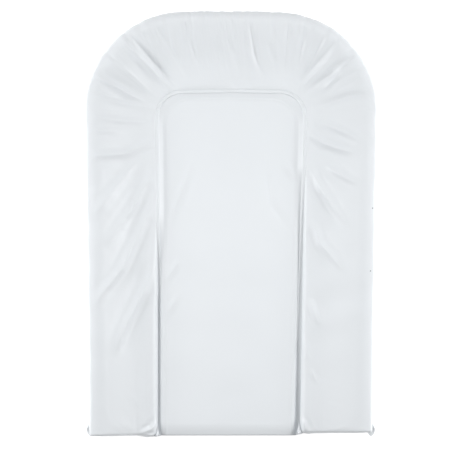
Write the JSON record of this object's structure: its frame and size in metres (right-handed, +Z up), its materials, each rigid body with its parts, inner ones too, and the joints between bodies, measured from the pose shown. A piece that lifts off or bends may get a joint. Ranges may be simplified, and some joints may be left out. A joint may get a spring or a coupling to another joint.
{
  "type": "changing pad",
  "caption": "Padded changing pad with raised wedge bolsters at both sides and the head around a flat centre, in a wipeable welded film cover, for laying a baby on while changing.",
  "frame": {"origin": "centre of the pad's outline, on the surface that it lies on", "axes": "+Y towards the head end, +X to the right seen from above with the head end up, +Z up"},
  "size_m": [0.49, 0.716, 0.0846],
  "materials": {
    "film": "satin",
    "weld": "satin",
    "foam": "matte"
  },
  "bodies": {
    "root": {"base_film": "film", "bolster_film": "film", "centre_film": "film", "perimeter_weld": "weld", "seam_weld": "weld", "left_corner_tab": "weld", "right_corner_tab": "weld", "left_wedge_foam": "foam", "right_wedge_foam": "foam", "head_wedge_foam": "foam", "centre_slab_foam": "foam"}
  },
  "joints": []
}
